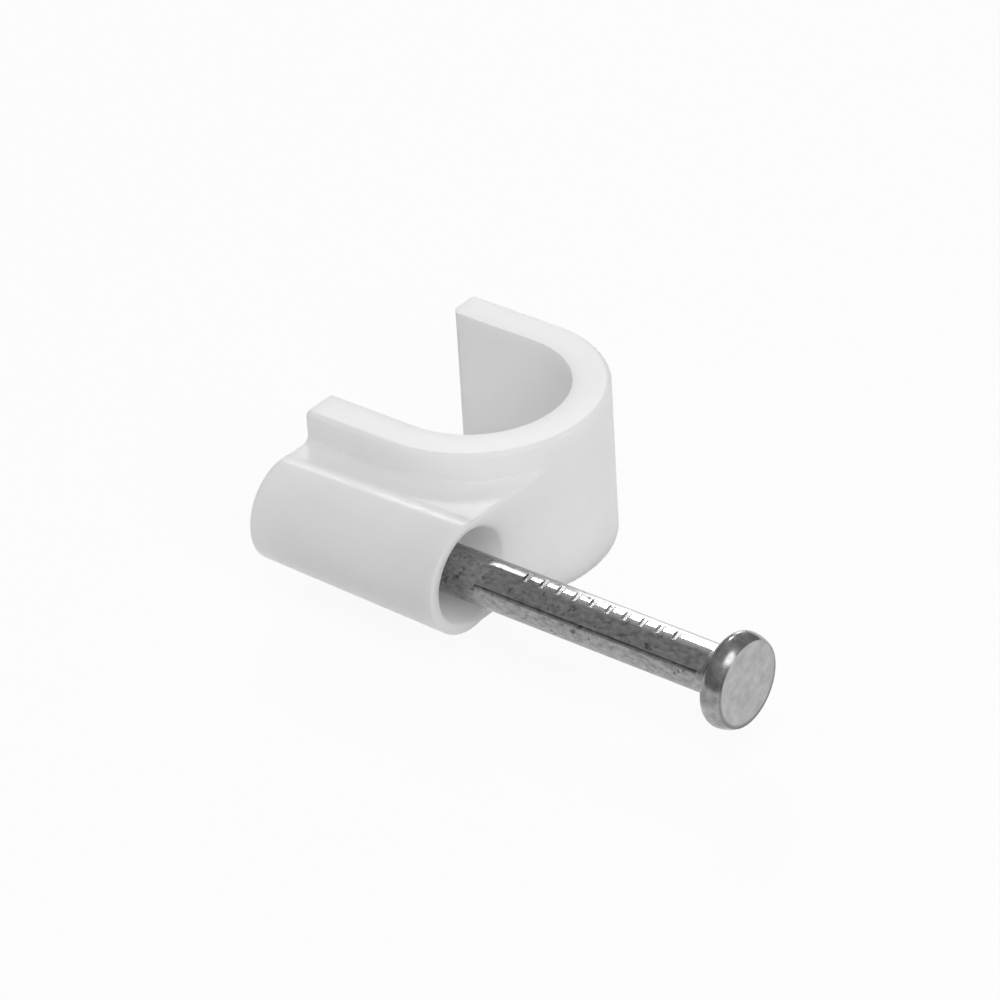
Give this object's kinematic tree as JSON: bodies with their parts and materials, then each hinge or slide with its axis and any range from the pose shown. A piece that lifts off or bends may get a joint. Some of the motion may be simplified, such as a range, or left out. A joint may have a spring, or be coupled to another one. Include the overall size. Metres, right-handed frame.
{
  "type": "nail-in cable clip",
  "caption": "Round plastic cable clip: an open hook that closes round a cable against the wall, with a side boss that carries a flat-headed steel nail ready to be driven.",
  "frame": {"origin": "where the nail's axis meets the wall plane, at half of the clip's height", "axes": "+Y along the nail into the wall, +X from the nail across to the free arm, +Z along the cable"},
  "size_m": [0.0148, 0.0225, 0.007],
  "materials": {
    "clip_plastic": "satin",
    "nail_steel": "drawn and die-marked"
  },
  "bodies": {
    "clip": {"clip": "clip_plastic"},
    "nail": {"nail": "nail_steel"}
  },
  "joints": [
    {"name": "nail_drive", "type": "slide", "parent": "clip", "child": "nail", "axis": [0, 1, 0], "range_m": [0, 0.0124]}
  ]
}
